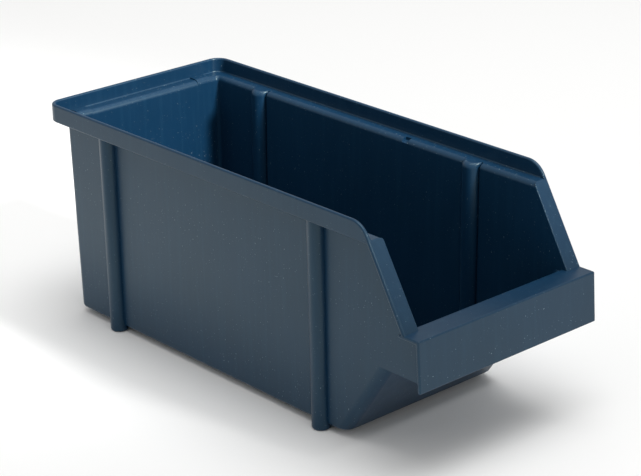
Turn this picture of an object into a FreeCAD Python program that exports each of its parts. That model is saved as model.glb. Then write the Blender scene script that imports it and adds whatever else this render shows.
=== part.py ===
import FreeCAD, Part
import os
import Sketcher

# Stackable open-front storage bin: one thin plastic moulding, modelled as the named
# regions of that moulding, each a closed solid that meets its neighbours face to face.
# X runs across the bin, Y from the open front (-) to the back (+), Z up from the feet.

SIZES = {
    # overall
    "total_length": 350.0,
    "total_width": 148.0,
    "total_height": 148.5,
    # sheet thicknesses
    "wall_gauge": 2.5,
    "rim_gauge": 2.5,
    # rim and stacking ledge
    "overhang": 9.0,
    "rim_depth": 12.0,
    "ledge_drop": 9.7,
    "ledge_edge_radius": 2.1,
    "rim_corner_radius": 10.0,
    "rim_top_radius": 1.1,
    "rim_nose_radius": 15.0,
    "corner_return": 15.0,
    # tub
    "foot_drop": 3.6,
    "back_corner_radius": 4.0,
    "base_edge_radius": 2.2,
    # slanted front edges of the sides
    "slant_run": 0.586,
    "slant_back": 47.7,
    # lip with its label plate
    "lip_level": 90.0,
    "plate_bottom": 58.0,
    "plate_lean": 1.9,
    # sloping lower front
    "slope_run": 0.684,
    "slope_foot": 73.7,
    # ribs and feet
    "rib_spacing": 200.0,
    "rib_rear_inset": 55.0,
    "rib_width": 16.0,
    "rib_radius": 6.0,
    "foot_edge_radius": 1.6,
    # details of the ledges
    "notch_width": 5.0,
    "notch_depth": 4.0,
    "notch_place": 22.0,
    "pad_inner": 45.0,
    "pad_length": 11.0,
    "pad_rise": 0.8,
    "lug_place": 58.0,
    "lug_length": 3.0,
    "lug_reach": 3.0,
    "lug_height": 7.0,
    # how far a cut overshoots the face it starts from
    "overshoot": 1.0,
}

SIDES = {"left": -1, "right": 1}
NAMES = []
TOLERANCE = 0.01     # mm, when an edge is picked by where it lies
EDGE_SAMPLES = 5     # points tested along an edge


class Size:
    """A length held both as a number and as the sheet expression that gives it."""

    def __init__(self, value, text):
        self.value = value
        self.text = text

    def _join(self, other, sign, value):
        text = other.text if isinstance(other, Size) else repr(float(other))
        return Size(value, f"({self.text} {sign} {text})")

    def __add__(self, other):
        return self._join(other, "+", self.value + number(other))

    def __sub__(self, other):
        return self._join(other, "-", self.value - number(other))

    def __mul__(self, other):
        return self._join(other, "*", self.value * number(other))

    def __truediv__(self, other):
        return self._join(other, "/", self.value / number(other))

    def root(self):
        return Size(self.value ** 0.5, f"sqrt({self.text})")


def number(value):
    return value.value if isinstance(value, Size) else float(value)


def fill_sheet(doc):
    """Writes every driving dimension into the sheet, one aliased row each."""
    sheet = doc.addObject("Spreadsheet::Sheet", "Dims")
    for row, (alias, value) in enumerate(SIZES.items(), start=1):
        sheet.set(f"A{row}", alias)
        sheet.set(f"B{row}", repr(value))
        sheet.setAlias(f"B{row}", alias)
    doc.recompute()
    return {alias: Size(value, f"Dims.{alias}") for alias, value in SIZES.items()}


def origin_plane(body, role):
    return next(item for item in body.Origin.OriginFeatures if item.Role == role)


def mirrored(outline, side):
    """The outline on the given side of the bin; arcs turn the other way on the left."""
    turned = []
    for x, y, *arc in outline:
        if arc:
            radius, turn = arc
            arc = [radius, turn * side]
        turned.append((x * side, y, *arc))
    return turned


def arc_middle(start, end, radius, turn):
    """The middle point of the arc from start to end; turn is +1 anticlockwise, -1 clockwise."""
    chord = end - start
    half = chord.Length / 2
    rise = radius - (radius ** 2 - half ** 2) ** 0.5
    outward = FreeCAD.Vector(chord.y, -chord.x, 0).normalize() * turn
    return start + chord / 2 + outward * rise


def closed_sketch(body, name, plane, offset, outline):
    """A closed outline whose every corner and arc radius is bound to the sheet.

    Each entry is (x, y) where the edge to the next corner is straight, or
    (x, y, radius, turn) where that edge is an arc.
    """
    sketch = body.newObject("Sketcher::SketchObject", name)
    sketch.AttachmentSupport = [(origin_plane(body, plane), "")]
    sketch.MapMode = "FlatFace"
    sketch.setExpression("AttachmentOffset.Base.z", offset.text)
    corners = [FreeCAD.Vector(corner[0].value, corner[1].value, 0) for corner in outline]
    ends = []
    for n, corner in enumerate(outline):
        start, end = corners[n], corners[(n + 1) % len(corners)]
        if len(corner) == 2:
            sketch.addGeometry(Part.LineSegment(start, end))
            ends.append((1, 2))
            continue
        radius, turn = corner[2], corner[3]
        middle = arc_middle(start, end, radius.value, turn)
        sketch.addGeometry(Part.Arc(start, middle, end))
        ends.append((1, 2) if turn > 0 else (2, 1))
    for n, corner in enumerate(outline):
        after = (n + 1) % len(outline)
        sketch.addConstraint(Sketcher.Constraint("Coincident", n, ends[n][1], after, ends[after][0]))
    for n, corner in enumerate(outline):
        for kind, size in (("DistanceX", corner[0]), ("DistanceY", corner[1])):
            place = Sketcher.Constraint(kind, -1, 1, n, ends[n][0], size.value)
            sketch.setExpression(f"Constraints[{sketch.addConstraint(place)}]", size.text)
        if len(corner) > 2:
            bend = Sketcher.Constraint("Radius", n, corner[2].value)
            sketch.setExpression(f"Constraints[{sketch.addConstraint(bend)}]", corner[2].text)
    return sketch


def padded(doc, label, plane, outline, start, depth):
    """A body with one pad of the outline, from start along the plane's normal."""
    body = doc.addObject("PartDesign::Body", label)
    body.Label = label
    sketch = closed_sketch(body, f"{label}_outline", plane, start, outline)
    pad = body.newObject("PartDesign::Pad", f"{label}_body")
    pad.Profile = sketch
    pad.setExpression("Length", depth.text)
    doc.recompute()
    NAMES.append(label)
    return body


def pocketed(doc, body, name, outline, level, depth):
    """Cuts the outline, drawn at the level, down through the depth."""
    before = body.Shape.Volume
    sketch = closed_sketch(body, f"{name}_outline", "XY_Plane", level, outline)
    pocket = body.newObject("PartDesign::Pocket", name)
    pocket.Profile = sketch
    pocket.setExpression("Length", depth.text)
    doc.recompute()
    if body.Shape.Volume >= before:
        raise RuntimeError(f"{name} cuts nothing")


def rounded(doc, body, name, radius, wanted):
    """Rounds the edges of the body whose points all satisfy wanted."""
    base = body.Tip
    edges = [f"Edge{n}" for n, edge in enumerate(base.Shape.Edges, start=1)
             if all(wanted(point) for point in edge.discretize(EDGE_SAMPLES))]
    if not edges:
        raise RuntimeError(f"{name} found no edge")
    fillet = body.newObject("PartDesign::Fillet", name)
    fillet.Base = (base, edges)
    fillet.setExpression("Radius", radius.text)
    doc.recompute()


def near(value, target):
    return abs(value - number(target)) < TOLERANCE


class Layout:
    """The planes and lines of the bin, worked out once from the driving dimensions."""

    def __init__(self, dims):
        self.back = dims["total_length"] / 2
        self.front = dims["total_length"] / 2 * -1
        self.rim_out = dims["total_width"] / 2
        self.rim_in = self.rim_out - dims["rim_gauge"]
        self.wall_out = self.rim_out - dims["overhang"]
        self.wall_in = self.wall_out - dims["wall_gauge"]
        self.rim_top = dims["total_height"]
        self.rim_bottom = self.rim_top - dims["rim_depth"]
        self.ledge_top = self.rim_top - dims["ledge_drop"]
        self.ledge_gauge = dims["rim_depth"] - dims["ledge_drop"]
        self.back_rim_in = self.back - dims["rim_gauge"]
        self.back_wall_out = self.back - dims["overhang"]
        self.back_wall_in = self.back_wall_out - dims["wall_gauge"]
        self.corner_end = self.back - dims["corner_return"]
        self.base = dims["foot_drop"]
        self.floor_top = self.base + dims["wall_gauge"]
        self.lip_top = dims["lip_level"]
        self.lip_under = self.lip_top - dims["wall_gauge"]
        self.rib_rear = self.back - dims["rib_rear_inset"]
        self.rib_front = self.rib_rear - dims["rib_spacing"]
        self.ribs = {"rear": self.rib_rear, "front": self.rib_front}
        self.rib_half = dims["rib_width"] / 2
        self.rib_radius = dims["rib_radius"]
        gauge = dims["wall_gauge"]
        self.rib_half_in = (self.rib_radius * self.rib_radius - gauge * gauge).root()
        self.dims = dims

    def slant(self, level):
        """Front face of the slanted side edges at a level."""
        dims = self.dims
        return self.front + dims["slant_back"] - (self.rim_top - level) * dims["slant_run"]

    def slant_rear(self, level):
        """Rear face of the slanted flanges: one gauge behind the front face, squarely."""
        lean = self.dims["slant_run"].value
        return self.slant(level) + self.dims["wall_gauge"] * (1 + lean ** 2) ** 0.5

    def slope(self, level):
        """Outer face of the sloping lower front at a level."""
        dims = self.dims
        return self.front + dims["slope_foot"] - (level - self.base) * dims["slope_run"]

    def slope_in(self, level):
        """Inner face of the sloping lower front, one gauge behind the outer, squarely."""
        lean = self.dims["slope_run"].value
        return self.slope(level) + self.dims["wall_gauge"] * (1 + lean ** 2) ** 0.5

    def plate(self, level):
        """Front face of the label plate, which leans forward towards its lower edge."""
        dims = self.dims
        height = self.lip_top - dims["plate_bottom"]
        return self.front + (level - dims["plate_bottom"]) / height * dims["plate_lean"]

    def plate_back(self, level):
        return self.plate(level) + self.dims["wall_gauge"]


def post(lay, middle):
    """Full circle of a round rib about the outer face of the wall, in four quarters."""
    radius = lay.rib_radius
    return [
        (lay.wall_out, middle - radius, radius, 1),
        (lay.wall_out + radius, middle, radius, 1),
        (lay.wall_out, middle + radius, radius, 1),
        (lay.wall_out - radius, middle, radius, 1),
    ]


def make_floor(doc, lay):
    """Flat floor, hollowed at its edges where the round ribs stand."""
    outline = [
        (lay.back_wall_in, lay.base),
        (lay.back_wall_in, lay.floor_top),
        (lay.slope_in(lay.floor_top), lay.floor_top),
        (lay.slope_in(lay.base), lay.base),
    ]
    body = padded(doc, "floor", "YZ_Plane", outline, lay.wall_in * -1, lay.wall_in * 2)
    radius = lay.dims["back_corner_radius"] - lay.dims["wall_gauge"]
    rounded(doc, body, "floor_corners", radius,
            lambda p: near(p.y, lay.back_wall_in) and near(abs(p.x), lay.wall_in))
    for name, side in SIDES.items():
        for place, middle in lay.ribs.items():
            pocketed(doc, body, f"floor_{name}_{place}", mirrored(post(lay, middle), side),
                     lay.floor_top, lay.dims["wall_gauge"])


def make_back_wall(doc, lay):
    """Flat back with the tub's two rear corners and a short return along each side."""
    big = lay.dims["back_corner_radius"]
    small = big - lay.dims["wall_gauge"]
    out_x, in_x = lay.wall_out, lay.wall_in
    out_y, in_y = lay.back_wall_out, lay.back_wall_in
    outline = [
        (out_x, lay.corner_end),
        (out_x, out_y - big, big, 1),
        (out_x - big, out_y),
        (out_x * -1 + big, out_y, big, 1),
        (out_x * -1, out_y - big),
        (out_x * -1, lay.corner_end),
        (in_x * -1, lay.corner_end),
        (in_x * -1, in_y - small, small, -1),
        (in_x * -1 + small, in_y),
        (in_x - small, in_y, small, -1),
        (in_x, in_y - small),
        (in_x, lay.corner_end),
    ]
    body = padded(doc, "back_wall", "XY_Plane", outline, lay.base, lay.rim_bottom - lay.base)
    rounded(doc, body, "back_wall_base", lay.dims["base_edge_radius"],
            lambda p: near(p.z, lay.base) and (
                near(p.y, out_y) or near(abs(p.x), out_x)
                or (p.y > out_y.value - big.value and abs(p.x) > in_x.value)))


def make_front_panel(doc, lay):
    """Lower front, sloping from the floor up to the underside of the lip."""
    outline = [
        (lay.slope(lay.base), lay.base),
        (lay.slope_in(lay.base), lay.base),
        (lay.slope_in(lay.lip_under), lay.lip_under),
        (lay.slope(lay.lip_under), lay.lip_under),
    ]
    padded(doc, "front_panel", "YZ_Plane", outline, lay.wall_in * -1, lay.wall_in * 2)


def make_lip_shelf(doc, lay):
    outline = [
        (lay.plate_back(lay.lip_under), lay.lip_under),
        (lay.slope_in(lay.lip_under), lay.lip_under),
        (lay.slope_in(lay.lip_top), lay.lip_top),
        (lay.plate_back(lay.lip_top), lay.lip_top),
    ]
    padded(doc, "lip_shelf", "YZ_Plane", outline, lay.rim_out * -1, lay.rim_out * 2)


def make_label_plate(doc, lay):
    """Plate that hangs from the front of the lip and carries the label."""
    low = lay.dims["plate_bottom"]
    outline = [
        (lay.plate(low), low),
        (lay.plate_back(low), low),
        (lay.plate_back(lay.lip_top), lay.lip_top),
        (lay.plate(lay.lip_top), lay.lip_top),
    ]
    body = padded(doc, "label_plate", "YZ_Plane", outline, lay.rim_out * -1, lay.rim_out * 2)
    rounded(doc, body, "label_plate_edges", lay.dims["rim_top_radius"],
            lambda p: near(p.z, lay.lip_top) and near(p.y, lay.plate(lay.lip_top)))


def make_back_rim(doc, lay):
    """Upright rim along the back, with both rounded corners."""
    big = lay.dims["rim_corner_radius"]
    small = big - lay.dims["rim_gauge"]
    outline = [
        (lay.rim_out, lay.corner_end),
        (lay.rim_out, lay.back - big, big, 1),
        (lay.rim_out - big, lay.back),
        (lay.rim_out * -1 + big, lay.back, big, 1),
        (lay.rim_out * -1, lay.back - big),
        (lay.rim_out * -1, lay.corner_end),
        (lay.rim_in * -1, lay.corner_end),
        (lay.rim_in * -1, lay.back_rim_in - small, small, -1),
        (lay.rim_in * -1 + small, lay.back_rim_in),
        (lay.rim_in - small, lay.back_rim_in, small, -1),
        (lay.rim_in, lay.back_rim_in - small),
        (lay.rim_in, lay.corner_end),
    ]
    body = padded(doc, "back_rim", "XY_Plane", outline, lay.rim_bottom, lay.dims["rim_depth"])
    middle_of_end = (lay.rim_out + lay.rim_in) / 2
    rounded(doc, body, "back_rim_top", lay.dims["rim_top_radius"],
            lambda p: near(p.z, lay.rim_top)
            and not (near(p.y, lay.corner_end) and near(abs(p.x), middle_of_end)))


def make_back_ledge(doc, lay):
    """Stacking ledge between the back rim and the back wall, round both corners."""
    big = lay.dims["rim_corner_radius"] - lay.dims["rim_gauge"]
    small = lay.dims["back_corner_radius"] - lay.dims["wall_gauge"]
    outline = [
        (lay.rim_in, lay.corner_end),
        (lay.rim_in, lay.back_rim_in - big, big, 1),
        (lay.rim_in - big, lay.back_rim_in),
        (lay.rim_in * -1 + big, lay.back_rim_in, big, 1),
        (lay.rim_in * -1, lay.back_rim_in - big),
        (lay.rim_in * -1, lay.corner_end),
        (lay.wall_in * -1, lay.corner_end),
        (lay.wall_in * -1, lay.back_wall_in - small, small, -1),
        (lay.wall_in * -1 + small, lay.back_wall_in),
        (lay.wall_in - small, lay.back_wall_in, small, -1),
        (lay.wall_in, lay.back_wall_in - small),
        (lay.wall_in, lay.corner_end),
    ]
    padded(doc, "back_ledge", "XY_Plane", outline, lay.rim_bottom, lay.ledge_gauge)


def make_side_walls(doc, lay, name, side):
    """Three flat panels per side, parted by the two ribs."""
    start = lay.wall_in if side > 0 else lay.wall_out * -1
    upright = {
        f"{name}_wall_rear": (lay.rib_rear + lay.rib_half, lay.corner_end),
        f"{name}_wall_middle": (lay.rib_front + lay.rib_half, lay.rib_rear - lay.rib_half),
    }
    for label, (low, high) in upright.items():
        outline = [
            (low, lay.base),
            (high, lay.base),
            (high, lay.rim_bottom),
            (low, lay.rim_bottom),
        ]
        body = padded(doc, label, "YZ_Plane", outline, start, lay.dims["wall_gauge"])
        round_base(doc, lay, body, label)
    label = f"{name}_wall_front"
    outline = [
        (lay.rib_front - lay.rib_half, lay.base),
        (lay.rib_front - lay.rib_half, lay.rim_bottom),
        (lay.slant_rear(lay.rim_bottom), lay.rim_bottom),
        (lay.slant_rear(lay.lip_top), lay.lip_top),
        (lay.slope_in(lay.lip_top), lay.lip_top),
        (lay.slope_in(lay.lip_under), lay.lip_under),
        (lay.slope(lay.lip_under), lay.lip_under),
        (lay.slope(lay.base), lay.base),
    ]
    body = padded(doc, label, "YZ_Plane", outline, start, lay.dims["wall_gauge"])
    round_base(doc, lay, body, label)


def round_base(doc, lay, body, label):
    rounded(doc, body, f"{label}_base", lay.dims["base_edge_radius"],
            lambda p: near(p.z, lay.base) and near(abs(p.x), lay.wall_out))


def make_lip_web(doc, lay, name, side):
    """Side web that closes the end of the space between front panel and label plate."""
    low = lay.dims["plate_bottom"]
    outline = [
        (lay.slope(low), low),
        (lay.slope(lay.lip_under), lay.lip_under),
        (lay.plate_back(lay.lip_under), lay.lip_under),
        (lay.plate_back(low), low),
    ]
    start = lay.wall_in if side > 0 else lay.wall_out * -1
    padded(doc, f"{name}_lip_web", "YZ_Plane", outline, start, lay.dims["wall_gauge"])


def make_front_flange(doc, lay, name, side):
    """Flat flange down the slanted front edge, as wide as the ledge above it."""
    outline = [
        (lay.slant(lay.lip_top), lay.lip_top),
        (lay.slant_rear(lay.lip_top), lay.lip_top),
        (lay.slant_rear(lay.rim_bottom), lay.rim_bottom),
        (lay.slant(lay.rim_bottom), lay.rim_bottom),
    ]
    start = lay.wall_in if side > 0 else lay.rim_out * -1
    width = lay.rim_out - lay.wall_in
    padded(doc, f"{name}_front_flange", "YZ_Plane", outline, start, width)


def make_side_rim(doc, lay, name, side):
    """Upright rim along one side; its front end curves down into the slanted edge."""
    nose = lay.dims["rim_nose_radius"]
    lean = lay.dims["slant_run"].value
    slant_length = (1 + lean ** 2) ** 0.5
    # length of each tangent from the sharp corner of rim top and slanted edge
    tangent = nose * ((1 - lean / slant_length) / (1 + lean / slant_length)) ** 0.5
    corner = lay.slant(lay.rim_top)
    outline = [
        (lay.corner_end, lay.rim_bottom),
        (lay.corner_end, lay.rim_top),
        (corner + tangent, lay.rim_top, nose, 1),
        (corner - tangent * (lean / slant_length), lay.rim_top - tangent / slant_length),
        (lay.slant(lay.rim_bottom), lay.rim_bottom),
    ]
    start = lay.rim_in if side > 0 else lay.rim_out * -1
    label = f"{name}_rim"
    body = padded(doc, label, "YZ_Plane", outline, start, lay.dims["rim_gauge"])
    end = corner.value + tangent.value
    rounded(doc, body, f"{label}_top", lay.dims["rim_top_radius"],
            lambda p: (near(p.z, lay.rim_top) or p.z > lay.rim_bottom.value and p.y < end)
            and (near(abs(p.x), lay.rim_out) or near(abs(p.x), lay.rim_in)))


def make_side_ledge(doc, lay, name, side):
    """Stacking ledge along one side, notched once through its inner edge."""
    outline = [
        (lay.corner_end, lay.rim_bottom),
        (lay.corner_end, lay.ledge_top),
        (lay.slant(lay.ledge_top), lay.ledge_top),
        (lay.slant(lay.rim_bottom), lay.rim_bottom),
    ]
    start = lay.wall_in if side > 0 else lay.rim_in * -1
    label = f"{name}_ledge"
    body = padded(doc, label, "YZ_Plane", outline, start, lay.rim_in - lay.wall_in)
    rounded(doc, body, f"{label}_edge", lay.dims["ledge_edge_radius"],
            lambda p: near(p.z, lay.ledge_top) and near(abs(p.x), lay.wall_in))
    dims = lay.dims
    middle = dims["notch_place"] * -1
    half = dims["notch_width"] / 2
    shallow = lay.wall_in - dims["overshoot"]
    deep = lay.wall_in + dims["notch_depth"]
    outline = [
        (shallow, middle - half),
        (deep, middle - half),
        (deep, middle + half),
        (shallow, middle + half),
    ]
    pocketed(doc, body, f"{label}_notch", mirrored(outline, side), lay.ledge_top, lay.ledge_gauge)


def make_rib(doc, lay, label, side, middle):
    """Round rib that stands out from both faces of the wall, with a strip of wall beside it."""
    radius = lay.rib_radius
    outline = [
        (lay.wall_in, middle - lay.rib_half),
        (lay.wall_out, middle - lay.rib_half),
        (lay.wall_out, middle - radius, radius, 1),
        (lay.wall_out + radius, middle, radius, 1),
        (lay.wall_out, middle + radius),
        (lay.wall_out, middle + lay.rib_half),
        (lay.wall_in, middle + lay.rib_half),
        (lay.wall_in, middle + lay.rib_half_in, radius, 1),
        (lay.wall_in, middle - lay.rib_half_in),
    ]
    padded(doc, label, "XY_Plane", mirrored(outline, side), lay.base, lay.rim_bottom - lay.base)


def make_foot(doc, lay, label, side, middle):
    """Round end of a rib, which stands below the floor and carries the bin."""
    drop = lay.dims["foot_drop"]
    body = padded(doc, label, "XY_Plane", mirrored(post(lay, middle), side), lay.base - drop, drop)
    rounded(doc, body, f"{label}_end", lay.dims["foot_edge_radius"], lambda p: near(p.z, 0))


def make_ledge_pad(doc, lay, name, side):
    """Low raised pad on the back ledge."""
    dims = lay.dims
    inner = dims["pad_inner"]
    outline = [
        (inner, lay.back_wall_in),
        (inner + dims["pad_length"], lay.back_wall_in),
        (inner + dims["pad_length"], lay.back_rim_in),
        (inner, lay.back_rim_in),
    ]
    padded(doc, f"{name}_ledge_pad", "XY_Plane", mirrored(outline, side), lay.ledge_top,
           dims["pad_rise"])


def make_rim_lug(doc, lay, name, side):
    """Small lug on the back wall, under the back ledge near each corner."""
    dims = lay.dims
    outline = [
        (dims["lug_place"], lay.back_wall_out),
        (dims["lug_place"] + dims["lug_length"], lay.back_wall_out),
        (dims["lug_place"] + dims["lug_length"], lay.back_wall_out + dims["lug_reach"]),
        (dims["lug_place"], lay.back_wall_out + dims["lug_reach"]),
    ]
    padded(doc, f"{name}_rim_lug", "XY_Plane", mirrored(outline, side),
           lay.rim_bottom - dims["lug_height"], dims["lug_height"])


def build(doc):
    lay = Layout(fill_sheet(doc))
    make_floor(doc, lay)
    make_back_wall(doc, lay)
    make_front_panel(doc, lay)
    make_lip_shelf(doc, lay)
    make_label_plate(doc, lay)
    make_back_rim(doc, lay)
    make_back_ledge(doc, lay)
    for name, side in SIDES.items():
        make_side_walls(doc, lay, name, side)
        make_lip_web(doc, lay, name, side)
        make_front_flange(doc, lay, name, side)
        make_side_rim(doc, lay, name, side)
        make_side_ledge(doc, lay, name, side)
        for place, middle in lay.ribs.items():
            make_rib(doc, lay, f"{name}_rib_{place}", side, middle)
            make_foot(doc, lay, f"{name}_foot_{place}", side, middle)
        make_ledge_pad(doc, lay, name, side)
        make_rim_lug(doc, lay, name, side)


def check(doc):
    for item in doc.Objects:
        if "Invalid" in item.State or "Error" in item.State:
            raise RuntimeError(f"{item.Label} failed to compute")
    for name in NAMES:
        shape = doc.getObject(name).Shape
        if shape.isNull() or not shape.isValid() or len(shape.Solids) != 1:
            raise RuntimeError(f"{name} is not one valid solid")


def export(doc):
    os.makedirs("parts", exist_ok=True)
    for name in NAMES:
        doc.getObject(name).Shape.exportStep(f"parts/{name}.step")


document = FreeCAD.newDocument("storage_bin")
build(document)
document.recompute()
check(document)
export(document)
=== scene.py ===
import math

import bmesh
import bpy
from mathutils import Matrix, Vector


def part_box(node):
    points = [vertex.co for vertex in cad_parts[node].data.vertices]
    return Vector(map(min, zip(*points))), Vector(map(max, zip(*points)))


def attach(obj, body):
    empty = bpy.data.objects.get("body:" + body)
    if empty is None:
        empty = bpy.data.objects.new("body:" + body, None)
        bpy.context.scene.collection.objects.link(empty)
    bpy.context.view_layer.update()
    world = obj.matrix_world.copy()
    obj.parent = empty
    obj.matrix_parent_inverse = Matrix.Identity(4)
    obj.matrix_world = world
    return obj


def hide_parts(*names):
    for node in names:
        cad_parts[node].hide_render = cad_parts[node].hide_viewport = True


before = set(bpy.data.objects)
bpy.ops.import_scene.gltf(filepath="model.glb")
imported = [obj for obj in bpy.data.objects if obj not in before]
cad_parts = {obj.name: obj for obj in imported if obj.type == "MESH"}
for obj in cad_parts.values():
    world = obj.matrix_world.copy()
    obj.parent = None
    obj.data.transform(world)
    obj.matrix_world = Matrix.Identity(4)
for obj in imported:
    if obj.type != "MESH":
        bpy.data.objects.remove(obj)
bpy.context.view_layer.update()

MM = 0.001

# ------------------------------------------------------------------ camera, floor and light
# A long lens from the open front's left, a little above the rim. The bin stands on a
# plain pale floor under a wide softbox, and a spot in front lights the inside of the back.

CAMERA_PLACE = Vector((-0.84173, -0.94929, 0.58902))
CAMERA_TURN = (-41.883, 21.779, -0.784)  # azimuth, elevation and roll in degrees
LENS = 121.3                             # millimetres, on a sensor 36 wide

scene = bpy.context.scene
camera_data = bpy.data.cameras.new("camera")
camera_data.lens = LENS
camera_data.sensor_width = 36
camera = bpy.data.objects.new("camera", camera_data)
scene.collection.objects.link(camera)
azimuth, elevation, roll = (math.radians(angle) for angle in CAMERA_TURN)
aim = (Matrix.Rotation(azimuth, 4, "Z") @ Matrix.Rotation(math.pi / 2 - elevation, 4, "X")
       @ Matrix.Rotation(roll, 4, "Z"))
camera.matrix_world = Matrix.Translation(CAMERA_PLACE) @ aim
scene.camera = camera


def linear(colour):
    """A colour given as sRGB hex, turned to the linear values that shaders take."""
    parts = [int(colour[n:n + 2], 16) / 255 for n in (1, 3, 5)]
    return [c / 12.92 if c <= 0.04045 else ((c + 0.055) / 1.055) ** 2.4 for c in parts] + [1.0]


def node(tree, kind, links=None, **settings):
    """Adds one shader node, sets its properties and inputs, and links its inputs."""
    made = tree.nodes.new(kind)
    for name, value in settings.items():
        if hasattr(made, name):
            setattr(made, name, value)
        else:
            made.inputs[name.replace("_", " ")].default_value = value
    for name, output in (links or {}).items():
        tree.links.new(output, made.inputs[name])
    return made


def light(name, kind, place, target, power, **settings):
    """Adds one lamp that shines from its place towards the target."""
    lamp = bpy.data.lights.new(name, kind)
    lamp.energy = power
    for setting, value in settings.items():
        setattr(lamp, setting, value)
    holder = bpy.data.objects.new(name, lamp)
    scene.collection.objects.link(holder)
    direction = Vector(target) - Vector(place)
    holder.matrix_world = Matrix.Translation(place) @ direction.to_track_quat("-Z", "Y").to_matrix().to_4x4()


light("overhead softbox", "AREA", (0.2, -0.3, 2.6), (0, 0, 0), 42, size=1.8)
light("spot into the bin", "SPOT", (0.20, -0.97, 0.88), (0, 0.25, 0.10), 132,
      spot_size=math.radians(23), spot_blend=1.0, shadow_soft_size=0.12)

world = bpy.data.worlds.new("studio")
scene.world = world
scene.view_settings.view_transform = "Standard"
world.use_nodes = True
backdrop = world.node_tree.nodes["Background"]
backdrop.inputs["Color"].default_value = linear("#ffffff")
backdrop.inputs["Strength"].default_value = 0.55

FLOOR_HALF = 6                           # metres
floor_mesh = bpy.data.meshes.new("studio_floor")
floor_corners = [(x * FLOOR_HALF, y * FLOOR_HALF, 0) for x, y in ((-1, -1), (1, -1), (1, 1), (-1, 1))]
floor_mesh.from_pydata(floor_corners, [], [(0, 1, 2, 3)])
studio_floor = bpy.data.objects.new("studio_floor", floor_mesh)
scene.collection.objects.link(studio_floor)
# coated background paper: matt and almost white, so the bin's edges stand out against it
paper = bpy.data.materials.new("white coated paper, matt")
paper.use_nodes = True
paper.node_tree.nodes["Principled BSDF"].inputs["Base Color"].default_value = linear("#fbfbfa")
paper.node_tree.nodes["Principled BSDF"].inputs["Roughness"].default_value = 0.9
floor_mesh.materials.append(paper)

# ------------------------------------------------------------------ tub
# The tub is the main body of one thin injection moulding in dark blue polypropylene:
# floor, back, two sides with round ribs, and a lower front that slopes forward. The walls
# lean in a little towards the floor so that the part leaves its mould.

MIX_FIRST, MIX_SECOND, MIX_RESULT = 6, 7, 2    # the colour sockets of a mix node


def polypropylene():
    """Moulded polypropylene: a dark satin blue with a fine spark-eroded grain. The grain
    breaks up highlights, and slow sink and flow marks keep the flat walls from looking dead."""
    material = bpy.data.materials.new("moulded polypropylene, satin")
    material.use_nodes = True
    tree = material.node_tree
    shader = tree.nodes["Principled BSDF"]
    shader.inputs["IOR"].default_value = 1.49
    shader.inputs["Specular IOR Level"].default_value = 0.43    # the grain swallows part of the gloss
    shader.inputs["Specular Tint"].default_value = linear("#e6fff7")    # and the pigment cools it
    place = node(tree, "ShaderNodeTexCoord").outputs["Object"]
    # flow marks: cloudy bands some 60 mm across, in a slightly lighter and duller blue
    flow = node(tree, "ShaderNodeTexNoise", {"Vector": place}, Scale=16.0, Detail=3.0)
    tint = node(tree, "ShaderNodeMix", {"Factor": flow.outputs["Fac"]}, data_type="RGBA")
    tint.inputs[MIX_FIRST].default_value = linear("#092941")
    tint.inputs[MIX_SECOND].default_value = linear("#0c2f4b")
    # drag marks: faint upright streaks some 3 mm wide, left as the part slid off its core
    upright = node(tree, "ShaderNodeMapping", {"Vector": place})
    upright.inputs["Scale"].default_value = (1.0, 1.0, 0.05)
    drag = node(tree, "ShaderNodeTexNoise", {"Vector": upright.outputs["Vector"]}, Scale=300.0, Detail=3.0)
    streak = node(tree, "ShaderNodeMapRange", {"Value": drag.outputs["Fac"]})
    # dust: pale specks of about 0.4 mm, drawn at 0.8 mm so that they show
    dust = node(tree, "ShaderNodeTexNoise", {"Vector": place}, Scale=1200.0, Detail=0.0)
    speck = node(tree, "ShaderNodeMapRange", {"Value": dust.outputs["Fac"]})
    for share, low, high, most in ((streak, 0.50, 0.75, 0.25), (speck, 0.80, 0.86, 0.60)):
        share.inputs["From Min"].default_value = low
        share.inputs["From Max"].default_value = high
        share.inputs["To Max"].default_value = most
    worn = node(tree, "ShaderNodeMix", {"Factor": streak.outputs["Result"]}, data_type="RGBA")
    tree.links.new(tint.outputs[MIX_RESULT], worn.inputs[MIX_FIRST])
    worn.inputs[MIX_SECOND].default_value = linear("#1d4058")
    dusty = node(tree, "ShaderNodeMix", {"Factor": speck.outputs["Result"]}, data_type="RGBA")
    tree.links.new(worn.outputs[MIX_RESULT], dusty.inputs[MIX_FIRST])
    dusty.inputs[MIX_SECOND].default_value = linear("#8499a3")
    tree.links.new(dusty.outputs[MIX_RESULT], shader.inputs["Base Color"])
    # roughness varies with the grain's polish over patches of about 8 mm
    polish = node(tree, "ShaderNodeTexNoise", {"Vector": place}, Scale=120.0, Detail=4.0)
    sheen = node(tree, "ShaderNodeMapRange", {"Value": polish.outputs["Fac"]})
    sheen.inputs["To Min"].default_value = 0.30
    sheen.inputs["To Max"].default_value = 0.40
    tree.links.new(sheen.outputs["Result"], shader.inputs["Roughness"])
    # spark-eroded grain is about 0.2 mm; drawn at 0.7 mm so that it shows
    grain = node(tree, "ShaderNodeTexNoise", {"Vector": place}, Scale=1400.0, Detail=2.0)
    # sink marks: shallow waves some 40 mm across, where the wall shrank as it cooled
    sink = node(tree, "ShaderNodeTexNoise", {"Vector": place}, Scale=25.0, Detail=1.0)
    wave = node(tree, "ShaderNodeBump", {"Height": sink.outputs["Fac"]},
                Strength=0.12, Distance=0.6 * MM)
    bump = node(tree, "ShaderNodeBump", {"Height": grain.outputs["Fac"], "Normal": wave.outputs["Normal"]},
                Strength=0.10, Distance=0.2 * MM)
    tree.links.new(bump.outputs["Normal"], shader.inputs["Normal"])
    return material


moulded_plastic = polypropylene()

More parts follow.
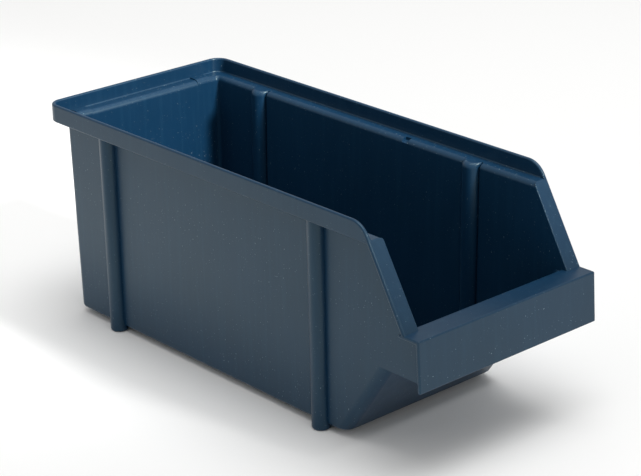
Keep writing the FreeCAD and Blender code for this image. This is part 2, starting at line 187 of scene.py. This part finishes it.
WELD = 0.002 * MM                        # points closer than this are one
SHARP_ANGLE = math.radians(35)           # faces that meet at more than this keep a sharp edge
BEVEL_STEPS = 4


def settle(name, points, faces, nodes, bevels=None):
    """Makes one piece of the moulding from points in metres and puts it in its place. Each
    bevel is a radius and a test that both ends of an edge pass; other edges stay sharp."""
    mesh = bpy.data.meshes.new(name)
    mesh.from_pydata(points, [], faces)
    work = bmesh.new()
    work.from_mesh(mesh)
    bmesh.ops.remove_doubles(work, verts=work.verts, dist=WELD)
    bmesh.ops.dissolve_degenerate(work, edges=work.edges, dist=WELD)
    bmesh.ops.delete(work, geom=[v for v in work.verts if not v.link_faces], context="VERTS")
    bmesh.ops.recalc_face_normals(work, faces=work.faces)
    work.to_mesh(mesh)
    work.free()
    piece = bpy.data.objects.new(name, mesh)
    scene.collection.objects.link(piece)
    mesh.shade_smooth()
    if bevels:
        bevel = piece.modifiers.new("moulded edges", "BEVEL")
        bevel.segments = BEVEL_STEPS
        bevel.width = max(radius for radius, wanted in bevels)
        bevel.limit_method = "WEIGHT"
        weights = mesh.attributes.new("bevel_weight_edge", "FLOAT", "EDGE")
        for edge in mesh.edges:
            ends = [mesh.vertices[n].co for n in edge.vertices]
            edge.use_edge_sharp = True
            for radius, wanted in bevels:
                if all(wanted(end) for end in ends):
                    weights.data[edge.index].value = radius / bevel.width
                    edge.use_edge_sharp = False
    else:
        mesh.set_sharp_from_angle(angle=SHARP_ANGLE)
    shading = piece.modifiers.new("even shading", "WEIGHTED_NORMAL")
    shading.keep_sharp = True
    mesh.materials.append(moulded_plastic)
    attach(piece, "root")
    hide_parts(*nodes)


floor_low, floor_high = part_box("floor")
wall_low, wall_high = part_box("right_wall_middle")
back_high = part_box("back_wall")[1]
rim_low, rim_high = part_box("right_rim")
ledge_low, ledge_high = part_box("right_ledge")
shelf_low, shelf_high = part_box("lip_shelf")
panel_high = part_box("front_panel")[1]
back_rim_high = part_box("back_rim")[1]

GAUGE = wall_high.x - wall_low.x
DRAFT = math.tan(math.radians(0.6))
SLANT_RUN = 0.586                        # of the slanted side edges, run per rise
SLOPE_RUN = 0.684                        # of the sloping lower front
BASE_EDGE = 2.4 * MM                     # outer radius between floor and walls
FRONT_CORNER = 5.0 * MM                  # inner radius between sides and lower front
BACK_CORNER_TOP = 1.5 * MM               # inner radius of the rear corners at the ledge
BACK_CORNER_LOW = 4.5 * MM               # and at the floor
LEDGE_EDGE = 3.6 * MM                    # rounding of the ledge's inner edge
RIB_RADIUS = 5.9 * MM                    # of the round ribs, at the feet
RIB_TAPER = 0.003                        # they widen upwards by this share of the height
RIB_IN = 1.5 * MM                        # from the wall's inner face to the axis of the inner round
RIB_FOOT = floor_high.z + 4.5 * MM       # the inner round starts at this level
RIB_GAP = 0.1 * MM                       # flat wall kept clear of the round
RECESS_HALF = 8.0 * MM                   # shallow recess of the wall in front of each rib
RECESS_DEPTH = 1.6 * MM
RECESS_SIDE = 0.2 * MM                   # run of the recess's steep side
RECESS_FADE = 12 * MM                    # the recess deepens over this height below the ledge
LIP_CUT = shelf_low.z + GAUGE / 2        # the front is open above this level
RIM_CORNER = 10 * MM                     # outer radius of the rim's rear corners
RIM_FILLET = 0.8 * MM                    # between the ledge and the rim
RIM_GAUGE = rim_high.x - rim_low.x
RIB_STEPS = 14                           # steps round half a rib
ARC_STEPS = 6                            # round a front corner or a rounded edge
BACK_STEPS = 8                           # round a rear corner
quarter = [math.pi / 2 * n / ARC_STEPS for n in range(ARC_STEPS + 1)]
NOTCH = -22 * MM                         # middle of the notch in each side ledge
NOTCH_HALF = 2.5 * MM
NOTCH_DEPTH = 4.0 * MM
NOTCH_SIDE = 0.1 * MM                    # run of the notch's steep side
STEEP = math.hypot(1, SLANT_RUN)
SLOPE_STEEP = math.hypot(1, SLOPE_RUN)
ribs = []
for rib_name in ("right_rib_front", "right_rib_rear"):
    rib_low, rib_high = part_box(rib_name)
    ribs.append((rib_low.y + rib_high.y) / 2)


def leaning(face, level):
    """A wall's inner face at a level, drawn in by the draft below the ledge."""
    return face - DRAFT * (ledge_low.z - level)


def slant_front(level):
    """Front face of the slanted flanges at a level."""
    return rim_low.y + (level - ledge_low.z) * SLANT_RUN


def slant_rear(level):
    """Rear face of the slanted flanges at a level."""
    return slant_front(level) + GAUGE * STEEP


def slope_inside(level):
    """Inner face of the sloping lower front at a level."""
    return panel_high.y - (level - floor_low.z) * SLOPE_RUN


def turn(centre_x, centre_y, radius, start, end, steps):
    """Places round an arc, each with the way outwards through the wall."""
    for n in range(steps + 1):
        angle = math.radians(start + (end - start) * n / steps)
        out_x, out_y = math.cos(angle), math.sin(angle)
        yield centre_x + radius * out_x, centre_y + radius * out_y, out_x, out_y


def rib_radius(level):
    """Radius of a round rib at a level."""
    return RIB_RADIUS + RIB_TAPER * level


def rib_inside(face, centre, level, reach):
    """The bin's inner face across a rib, from front to back: a shallow recess, the round
    of the rib, and flat wall. Near the ledge the recess cuts deeper."""
    radius = rib_radius(level)
    share = min(max((level - ledge_low.z + RECESS_FADE) / RECESS_FADE, 0), 1)
    depth = RECESS_DEPTH + (LEDGE_EDGE - RECESS_DEPTH) * share
    axis = face + RIB_IN
    near_side = math.acos((RIB_IN - RECESS_DEPTH) / radius)
    far_side = math.acos(RIB_IN / radius)
    flat = face + reach
    recess = max(face + depth, flat)
    places = [(flat, -RECESS_HALF), (recess, -RECESS_HALF + RECESS_SIDE), (recess, -radius - RIB_GAP)]
    for n in range(-RIB_STEPS, RIB_STEPS + 1):
        angle = (near_side if n < 0 else far_side) * n / RIB_STEPS
        places.append((axis - radius * math.cos(angle) + reach, radius * math.sin(angle)))
    places += [(flat, radius + RIB_GAP), (flat, RECESS_HALF - RECESS_SIDE), (flat, RECESS_HALF)]
    return [(x, centre + y) for x, y in places]


def rib_outside(face, centre, level):
    """The outer face across a rib: flat wall, half a round, flat wall."""
    radius = rib_radius(level)
    half = [(face, -RECESS_HALF), (face, -RECESS_HALF + RECESS_SIDE), (face, -radius - RIB_GAP)]
    angles = [math.pi / 2 * n / RIB_STEPS for n in range(-RIB_STEPS, RIB_STEPS + 1)]
    round_part = [(face + radius * math.cos(angle), radius * math.sin(angle)) for angle in angles]
    places = half + round_part + [(x, -y) for x, y in reversed(half)]
    return [(x, centre + y) for x, y in places]


def notch_inside(face, level, reach):
    """The inner edge of a side ledge across its notch, from front to back."""
    in_ledge = ledge_low.z < level <= ledge_high.z
    cut = face + max(reach, NOTCH_DEPTH) if in_ledge else face + reach
    half = [(face + reach, NOTCH_HALF + NOTCH_SIDE), (cut, NOTCH_HALF)]
    return [(x, NOTCH - y) for x, y in half] + [(x, NOTCH + y) for x, y in reversed(half)]


def half_plan(level, reach, shape):
    """The right half of the tub at a level, from the middle of the front round to the
    middle of the back, moved outwards by reach from the inner face. The shape is "pan"
    below the ribs' inner rounds, "tub" with them, and "wall" above the lip, where the
    front is open."""
    side = leaning(wall_low.x, level)
    back = leaning(back_high.y - GAUGE, level)
    front = slope_inside(level)
    places = [(0, front, 0, -SLOPE_STEEP)]
    corner = turn(side - FRONT_CORNER, front + FRONT_CORNER, FRONT_CORNER, -90, 0, ARC_STEPS)
    places += [(x, y, out_x, out_y * SLOPE_STEEP) for x, y, out_x, out_y in corner]
    if shape == "wall":
        end = slant_rear(level)
        run = FRONT_CORNER + GAUGE
        places = [(side, end, 1, 0)]
        places += [(side, end + run * n / ARC_STEPS, 1, 0) for n in range(ARC_STEPS + 1)]
    plan = [(x + out_x * reach, y + out_y * reach) for x, y, out_x, out_y in places]
    for centre in ribs:
        if shape == "pan":
            plan += [(side + reach, y) for x, y in rib_outside(side, centre, level)]
        elif reach == GAUGE:
            plan += rib_outside(side + reach, centre, level)
        else:
            plan += rib_inside(side, centre, level, reach)
        if centre == ribs[0]:
            plan += notch_inside(side, level, reach)
    share = (level - floor_low.z) / (ledge_low.z - floor_low.z)
    radius = BACK_CORNER_LOW + (BACK_CORNER_TOP - BACK_CORNER_LOW) * min(max(share, 0), 1)
    corner = turn(side - radius, back - radius, radius, 0, 90, BACK_STEPS)
    plan += [(x + out_x * reach, y + out_y * reach) for x, y, out_x, out_y in corner]
    plan.append((0, back + reach))
    return plan


def ring(level, reach, shape):
    """All round the tub at a level, moved outwards by reach."""
    half = [(x, y, level) for x, y in half_plan(level, reach, shape)]
    return half + [(-x, y, z) for x, y, z in half[-2:0:-1]]


def rim_ring(level, inset):
    """The same number of places along the foot of the rim, inset from its outer face."""
    straight = half_plan(level, LEDGE_EDGE, "wall")[:-(BACK_STEPS + 2)]
    corner = turn(rim_high.x - RIM_CORNER, back_rim_high.y - RIM_CORNER, RIM_CORNER - inset,
                  0, 90, BACK_STEPS)
    half = [(rim_high.x - inset, y, level) for x, y in straight]
    half += [(x, y, level) for x, y, out_x, out_y in corner]
    half.append((0, back_rim_high.y - inset, level))
    return half + [(-x, y, z) for x, y, z in half[-2:0:-1]]


# The surface is built as rings, from the floor's upper edge up the inside to the rim,
# down the rim's foot, and down the outside to the underside.

levels = []
inside_radius = BASE_EDGE - GAUGE
for angle in quarter:
    levels.append(("shut", ring(floor_high.z + inside_radius * (1 - math.cos(angle)),
                                -inside_radius * (1 - math.sin(angle)), "pan")))
levels.append(("shut", ring(RIB_FOOT, 0, "pan")))
levels.append(("shut", ring(RIB_FOOT, 0, "tub")))
levels.append(("shut", ring(LIP_CUT, 0, "tub")))
levels.append(("open", ring(LIP_CUT, 0, "wall")))
levels.append(("open", ring(ledge_low.z - RECESS_FADE, 0, "wall")))
for angle in quarter:
    levels.append(("open", ring(ledge_high.z - LEDGE_EDGE * (1 - math.sin(angle)),
                                LEDGE_EDGE * (1 - math.cos(angle)), "wall")))
for angle in quarter:
    levels.append(("open", rim_ring(ledge_high.z + RIM_FILLET * (1 - math.cos(angle)),
                                    RIM_GAUGE + RIM_FILLET * (1 - math.sin(angle)))))
levels.append(("open", rim_ring(ledge_low.z, RIM_GAUGE)))
levels.append(("open", ring(ledge_low.z, GAUGE, "wall")))
levels.append(("open", ring(LIP_CUT, GAUGE, "wall")))
levels.append(("shut", ring(LIP_CUT, GAUGE, "tub")))
levels.append(("shut", ring(floor_low.z + BASE_EDGE, GAUGE, "tub")))
for angle in reversed(quarter):
    levels.append(("shut", ring(floor_low.z + BASE_EDGE * (1 - math.cos(angle)),
                                GAUGE - BASE_EDGE * (1 - math.sin(angle)), "pan")))

count = len(levels[0][1])
points = [place for kind, places in levels for place in places]
faces = []
for row in range(len(levels) - 1):
    open_row = "open" in (levels[row][0], levels[row + 1][0])
    for n in range(count):
        after = (n + 1) % count
        if open_row and (n == 0 or after == 0):
            continue
        faces.append((row * count + n, row * count + after,
                      (row + 1) * count + after, (row + 1) * count + n))

# Above the lip the rings are cut open at the front: the lip's edge and the two slanted
# edges of the walls are closed here, and then the floor and the underside.
opened = [row for row, (kind, places) in enumerate(levels) if kind == "open"]
shut_inside, shut_outside = opened[0] - 1, opened[-1] + 1
for n in (0, count - 1):
    after = (n + 1) % count
    faces.append((shut_inside * count + n, shut_inside * count + after,
                  shut_outside * count + after, shut_outside * count + n))
for n in (1, count - 1):
    faces.append([row * count + n for row in opened])
    faces.append((shut_inside * count + n, opened[0] * count + n,
                  opened[-1] * count + n, shut_outside * count + n))
faces.append(list(range(count)))
faces.append([(len(levels) - 1) * count + n for n in range(count)])

tub_nodes = ["floor", "back_wall", "front_panel", "back_ledge"]
for side in ("left", "right"):
    tub_nodes += [f"{side}_wall_rear", f"{side}_wall_middle", f"{side}_wall_front",
                  f"{side}_rib_rear", f"{side}_rib_front", f"{side}_ledge"]
settle("tub", points, faces, tub_nodes)

# ------------------------------------------------------------------ rim
# The rim is the upright band that stiffens the top and stands round the stacking ledge.
# It is part of the same moulding, rounded along its top and lower edges, and at the
# front it curves over and runs down the slanted edges to the lip.

RIM_EDGE = 1.1 * MM                      # rounding of the band's edges
RIM_NOSE = 15 * MM                       # radius where the top turns down the slant
NOSE_STEPS = 12
CORNER_STEPS = 12
SHARP = 0.05 * MM                        # rounding of an edge that is left crisp
UP = Vector((0, 0, 1))
slant_out = Vector((0, -1, SLANT_RUN)) / STEEP
nose_level = rim_high.z - RIM_NOSE
nose_centre = Vector((rim_high.x, slant_front(nose_level) + RIM_NOSE * STEEP, nose_level))
inner_corner = Vector((rim_high.x, slant_rear(rim_low.z), rim_low.z))
across = Vector((1, 0, 0))


def rim_stations():
    """Half of the rim from the lip to the middle of the back. Each station is a place on
    the upper edge with its way out, one on the lower edge with its way out, the way
    out through the face, and the rounding of the inner upper edge."""
    tangent_level = nose_centre.z + RIM_NOSE * slant_out.z
    for level in (shelf_high.z, rim_low.z + GAUGE * slant_out.z, ledge_high.z, tangent_level):
        edge = Vector((rim_high.x, slant_front(level), level))
        low = edge - slant_out * GAUGE
        if low.z > rim_low.z:
            low = inner_corner
        rounding = RIM_EDGE if level > ledge_high.z else SHARP
        yield edge, slant_out, low, -slant_out, across, rounding
    lean = math.atan2(slant_out.z, -slant_out.y)
    for n in range(1, NOSE_STEPS + 1):
        angle = lean + (math.pi / 2 - lean) * n / NOSE_STEPS
        out = Vector((0, -math.cos(angle), math.sin(angle)))
        low = inner_corner.lerp(Vector((rim_high.x, nose_centre.y, rim_low.z)), n / NOSE_STEPS)
        down = (-slant_out).lerp(-UP, n / NOSE_STEPS).normalized()
        yield nose_centre + out * RIM_NOSE, out, low, down, across, RIM_EDGE
    corner = Vector((rim_high.x - RIM_CORNER, back_rim_high.y - RIM_CORNER, 0))
    for n in range(CORNER_STEPS + 1):
        angle = math.pi / 2 * n / CORNER_STEPS
        out = Vector((math.cos(angle), math.sin(angle), 0))
        place = corner + out * RIM_CORNER
        yield (place + UP * rim_high.z, UP, place + UP * rim_low.z, -UP, out, RIM_EDGE)
    place = Vector((0, back_rim_high.y, 0))
    yield (place + UP * rim_high.z, UP, place + UP * rim_low.z, -UP, Vector((0, 1, 0)), RIM_EDGE)


def rim_section(upper, upper_out, lower, lower_out, out, rounding):
    """The closed section of the band at one station."""
    turns = [(1 - math.sin(angle), 1 - math.cos(angle)) for angle in quarter]
    for rise, run in turns:
        yield lower - out * RIM_EDGE * rise - lower_out * RIM_EDGE * run
    for rise, run in turns:
        yield upper - out * RIM_EDGE * run - upper_out * RIM_EDGE * rise
    for rise, run in turns:
        yield upper - out * (RIM_GAUGE - rounding * rise) - upper_out * rounding * run
    yield lower - out * RIM_GAUGE


def strip(sections):
    """Points and faces of a bar that passes through the sections, closed at both ends."""
    size = len(sections[0])
    points = [place for section in sections for place in section]
    faces = [(row * size + n, row * size + (n + 1) % size,
              (row + 1) * size + (n + 1) % size, (row + 1) * size + n)
             for row in range(len(sections) - 1) for n in range(size)]
    faces.append(list(range(size)))
    faces.append([(len(sections) - 1) * size + n for n in range(size)])
    return points, faces


half_rim = [list(rim_section(*station)) for station in rim_stations()]
other_half = [[Vector((-place.x, place.y, place.z)) for place in section]
              for section in half_rim[-2::-1]]
settle("rim", *strip(half_rim + other_half), ["back_rim", "left_rim", "right_rim"])

# ------------------------------------------------------------------ ledge pads
# Two low pads lie on the back ledge near its corners. Each is a raised strip of the same
# moulding that follows the ledge forwards and over its rounded inner edge.

pad_low, pad_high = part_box("right_ledge_pad")
pad_rise = pad_high.z - pad_low.z
round_y = leaning(back_high.y - GAUGE, ledge_high.z) + LEDGE_EDGE
round_z = ledge_high.z - LEDGE_EDGE
profile = [(pad_high.y + RIM_FILLET, pad_low.z), (pad_high.y, pad_high.z)]
for n, angle in enumerate(reversed(quarter)):
    radius = LEDGE_EDGE + pad_rise * (1 - n / len(quarter))
    profile.append((round_y - radius * math.cos(angle), round_z + radius * math.sin(angle)))
profile.append((round_y, round_z))

for name, side in (("left", -1), ("right", 1)):
    ends = [[Vector((side * x, y, z)) for y, z in profile] for x in (pad_low.x, pad_high.x)]
    settle(f"{name}_ledge_pad_moulded", *strip(ends), [f"{name}_ledge_pad"])

# ------------------------------------------------------------------ front flanges
# Flat flanges stiffen the slanted front edges. They run from the ledge down to the lip,
# as wide as the ledge, and their inner edges are flush with the inside of the bin.

FLANGE_EDGE = 0.7 * MM                   # rounding of the front edge down the slant
FLANGE_TOP = 0.9 * MM                    # and of the top's front edge
FLANGE_LAP = 0.3 * MM                    # into the end of the ledge behind
HAIR = 0.01 * MM                         # a gap too small to see
# the faces of a block whose eight corners are counted by x, then y, then z
BOX_FACES = [(0, 1, 3, 2), (4, 5, 7, 6), (0, 1, 5, 4), (2, 3, 7, 6), (0, 2, 6, 4), (1, 3, 7, 5)]

flange_top = ledge_high.z - 2 * HAIR     # just under the ledge's surface where the two lap

for name, side in (("left", -1), ("right", 1)):
    corners = []
    for level in (shelf_high.z, flange_top):
        for y in (slant_front(level), slant_rear(level) + FLANGE_LAP):
            for x in (leaning(wall_low.x, level), rim_low.x):
                corners.append(Vector((side * x, y, level)))
    bevels = [
        (FLANGE_EDGE, lambda p: abs(p.x) < wall_high.x and abs(p.y - slant_front(p.z)) < HAIR),
        (FLANGE_TOP, lambda p: abs(p.z - flange_top) < HAIR and abs(p.y - slant_front(p.z)) < HAIR),
        (LEDGE_EDGE, lambda p: abs(p.z - flange_top) < HAIR and abs(p.x) < wall_high.x),
    ]
    settle(f"{name}_front_flange_moulded", corners, BOX_FACES, [f"{name}_front_flange"], bevels)

# ------------------------------------------------------------------ lip and label plate
# The lip crosses the open front and carries the label plate, which hangs from its front
# edge and leans out a little at the bottom. Side webs close the space behind the plate.

PLATE_EDGE = 1.0 * MM
plate_low, plate_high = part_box("label_plate")
PLATE_LEAN = 1.9 * MM                    # forward lean of the plate over its height


def plate_front(level):
    """Front face of the label plate at a level."""
    return plate_low.y + PLATE_LEAN * (level - plate_low.z) / (plate_high.z - plate_low.z)


outline = [
    (plate_front(plate_low.z), plate_low.z),
    (plate_front(shelf_high.z), shelf_high.z),
    (slope_inside(shelf_high.z), shelf_high.z),
    (slope_inside(shelf_low.z), shelf_low.z),
    (plate_front(shelf_low.z) + GAUGE, shelf_low.z),
    (plate_front(plate_low.z) + GAUGE, plate_low.z),
]
ends = [[Vector((x, y, z)) for y, z in outline] for x in (shelf_low.x, shelf_high.x)]
settle("label_lip", *strip(ends), ["lip_shelf", "label_plate"], [(PLATE_EDGE, lambda p: True)])

for name, side in (("left", -1), ("right", 1)):
    web = [(slope_inside(level) + FRONT_CORNER, level) for level in (plate_low.z, shelf_low.z)]
    web += [(plate_front(level) + GAUGE, level) for level in (shelf_low.z, plate_low.z)]
    ends = [[Vector((side * leaning(x, z), y, z)) for y, z in web] for x in (wall_low.x, wall_high.x)]
    settle(f"{name}_lip_web_moulded", *strip(ends), [f"{name}_lip_web"])

# ------------------------------------------------------------------ feet
# Each rib ends in a closed foot, moulded with it and rounded underneath. The four feet
# carry the bin a few millimetres clear of the shelf.

FOOT_EDGE = 1.6 * MM                     # rounding of the sole
FOOT_SIDES = 40

for name, side in (("left", -1), ("right", 1)):
    for place, centre in zip(("front", "rear"), ribs):
        foot_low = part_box(f"right_foot_{place}")[0]
        stations = [(RIB_FOOT + HAIR, 0)]
        stations += [(foot_low.z + FOOT_EDGE * (1 - math.cos(angle)), FOOT_EDGE * (1 - math.sin(angle)))
                     for angle in reversed(quarter)]
        sections = []
        for level, inset in stations:
            middle = leaning(wall_high.x, level)
            radius = rib_radius(level) - inset
            angles = [math.tau * n / FOOT_SIDES for n in range(FOOT_SIDES)]
            sections.append([Vector((side * (middle + radius * math.cos(angle)),
                                     centre + radius * math.sin(angle), level)) for angle in angles])
        settle(f"{name}_foot_{place}_moulded", *strip(sections), [f"{name}_foot_{place}"])

# ------------------------------------------------------------------ rim lugs
# Two small lugs stand on the back wall close under the rim, one near each corner. They
# are moulded with the wall and have lightly broken edges.

LUG_EDGE = 0.5 * MM

for name in ("left", "right"):
    lug_low, lug_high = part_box(f"{name}_rim_lug")
    corners = [Vector((x, y, z)) for z in (lug_low.z, lug_high.z)
               for y in (lug_low.y - DRAFT * (ledge_low.z - lug_low.z), lug_high.y)
               for x in (lug_low.x, lug_high.x)]
    settle(f"{name}_rim_lug_moulded", corners, BOX_FACES, [f"{name}_rim_lug"], [(LUG_EDGE, lambda p: True)])

# ------------------------------------------------------------------ finish
# The solids behind the moulded pieces get the same plastic.

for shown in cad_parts.values():
    shown.data.materials.clear()
    shown.data.materials.append(moulded_plastic)
